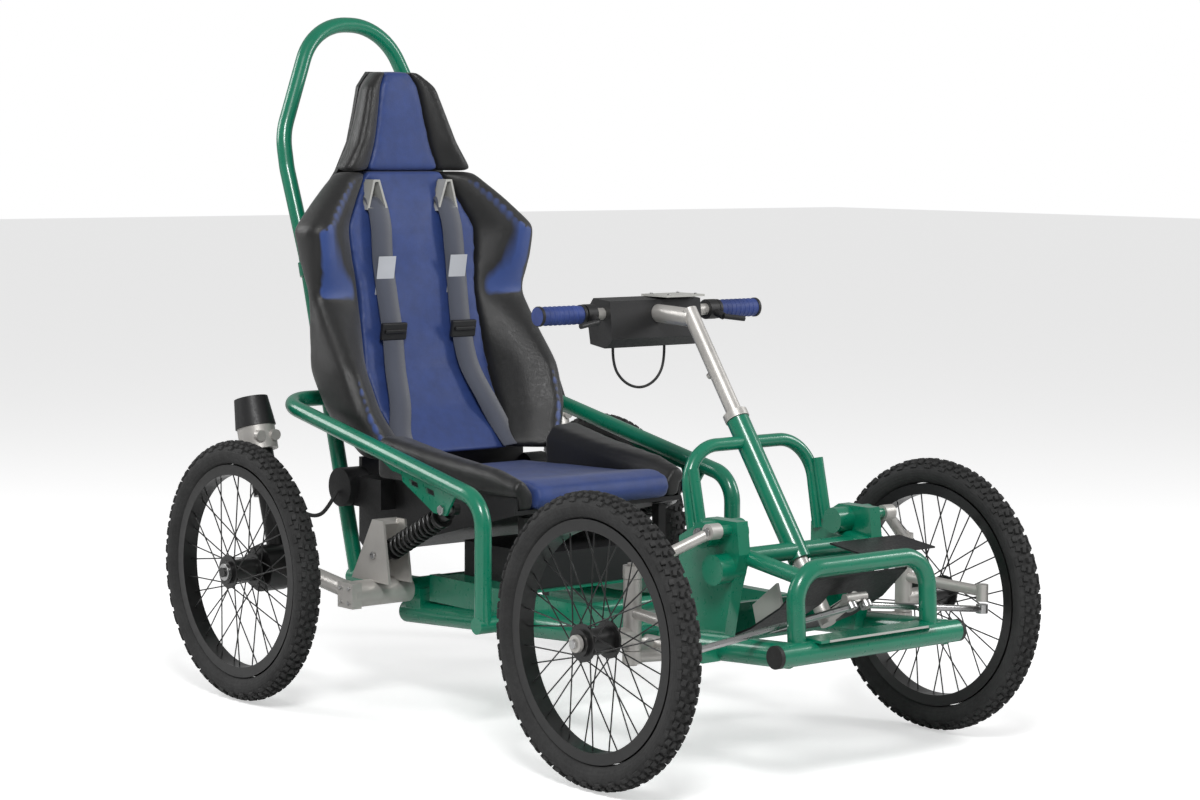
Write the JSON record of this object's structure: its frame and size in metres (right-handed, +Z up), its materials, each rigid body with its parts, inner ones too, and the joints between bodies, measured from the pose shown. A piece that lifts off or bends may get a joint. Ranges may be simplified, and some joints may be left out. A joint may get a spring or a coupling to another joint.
{
  "type": "all-terrain wheelchair",
  "caption": "Open tube frame wheelchair with a bucket seat, handlebar steering, spoked knobbly wheels and driven rear wheels on swing arms.",
  "frame": {"origin": "on the ground, at the middle of the overall width and length", "axes": "+Z up, the rider faces -Y, the rider's left is +X; +Y is the longest side"},
  "size_m": [1.02, 1.623, 1.363],
  "materials": {
    "black_leather": "satin",
    "black_metal": "satin",
    "black_plastic": "satin",
    "blue_cloth": "satin",
    "blue_grip": "matt",
    "frame_green": "gloss",
    "grey_plastic": "matt",
    "rubber": "matt",
    "silver": "satin",
    "steel": "satin",
    "tyre": "matt",
    "webbing": "matt"
  },
  "bodies": {
    "chassis": {"back_hoop": "frame_green", "battery_box": "black_plastic", "bumper_hoop": "frame_green", "control_boxes": "black_plastic", "end_caps": "rubber", "foot_tray": "black_plastic", "footrests": "grey_plastic", "footwell_cover": "black_plastic", "front_lower_arms": "silver", "front_tower": "frame_green", "front_upper_links": "silver", "harness": "webbing", "harness_bezels": "grey_plastic", "head_tube": "frame_green", "headrest_pad": "blue_cloth", "headrest_sides": "black_leather", "hoop_sleeves": "frame_green", "lower_frame": "frame_green", "motor_cables": "rubber", "motor_caps": "black_plastic", "motor_crowns": "silver", "motor_legs": "black_metal", "rear_dampers": "black_metal", "rear_gearboxes": "black_metal", "rear_springs": "black_metal", "rear_swing_arms": "silver", "seat_back_bolsters": "black_leather", "seat_back_pad": "blue_cloth", "seat_back_shell": "black_leather", "seat_brackets": "black_metal", "seat_cushion": "blue_cloth", "seat_pan": "black_plastic", "seat_posts": "black_metal", "shock_bolts": "steel", "side_rails": "frame_green", "thigh_bolsters": "black_leather", "tower_bolts": "steel"},
    "wheel_front_left": {"tyre_front_left": "tyre", "rim_front_left": "black_metal", "hub_front_left": "black_metal"},
    "wheel_front_right": {"tyre_front_right": "tyre", "rim_front_right": "black_metal", "hub_front_right": "black_metal"},
    "wheel_rear_left": {"tyre_rear_left": "tyre", "rim_rear_left": "black_metal", "hub_rear_left": "black_metal"},
    "wheel_rear_right": {"tyre_rear_right": "tyre", "rim_rear_right": "black_metal", "hub_rear_right": "black_metal"},
    "steering": {"steering_column": "silver", "handlebar": "silver", "grips": "blue_grip", "levers": "black_plastic", "control_pod": "black_plastic", "display_plate": "grey_plastic", "pod_cable": "rubber"},
    "knuckle_left": {"knuckle_left": "silver"},
    "tie_rod_left": {"tie_rod_left": "steel"},
    "knuckle_right": {"knuckle_right": "silver"},
    "tie_rod_right": {"tie_rod_right": "steel"}
  },
  "joints": [
    {"name": "steering", "type": "hinge", "parent": "chassis", "child": "steering", "pos_m": [0, -0.611, 0.368], "axis": [0, 0.5776, 0.8163], "range_deg": [-35, 35]},
    {"name": "kingpin_left", "type": "hinge", "parent": "chassis", "child": "knuckle_left", "pos_m": [0.332, -0.544, 0.258], "axis": [0, 0, 1], "range_deg": [-18, 18]},
    {"name": "kingpin_right", "type": "hinge", "parent": "chassis", "child": "knuckle_right", "pos_m": [-0.332, -0.544, 0.258], "axis": [0, 0, 1], "range_deg": [-18, 18]},
    {"name": "tie_rod_eye_left", "type": "hinge", "parent": "steering", "child": "tie_rod_left", "pos_m": [0.018, -0.7497, 0.31914], "axis": [0, 0.5776, 0.8163], "range_deg": [-36, 36]},
    {"name": "tie_rod_eye_right", "type": "hinge", "parent": "steering", "child": "tie_rod_right", "pos_m": [-0.018, -0.7497, 0.31914], "axis": [0, 0.5776, 0.8163], "range_deg": [-36, 36]},
    {"name": "spin_front_left", "type": "hinge", "parent": "knuckle_left", "child": "wheel_front_left", "pos_m": [0.414, -0.544, 0.258], "axis": [1, 0, 0], "continuous": true},
    {"name": "spin_front_right", "type": "hinge", "parent": "knuckle_right", "child": "wheel_front_right", "pos_m": [-0.414, -0.544, 0.258], "axis": [1, 0, 0], "continuous": true},
    {"name": "spin_rear_left", "type": "hinge", "parent": "chassis", "child": "wheel_rear_left", "pos_m": [0.466, 0.492, 0.258], "axis": [1, 0, 0], "continuous": true},
    {"name": "spin_rear_right", "type": "hinge", "parent": "chassis", "child": "wheel_rear_right", "pos_m": [-0.466, 0.492, 0.258], "axis": [1, 0, 0], "continuous": true}
  ],
  "couplings": [
    {"joint": "kingpin_left", "follows": "steering", "ratio": 0.4693},
    {"joint": "kingpin_right", "follows": "steering", "ratio": 0.4693},
    {"joint": "tie_rod_eye_left", "follows": "steering", "ratio": -1},
    {"joint": "tie_rod_eye_right", "follows": "steering", "ratio": -1}
  ]
}
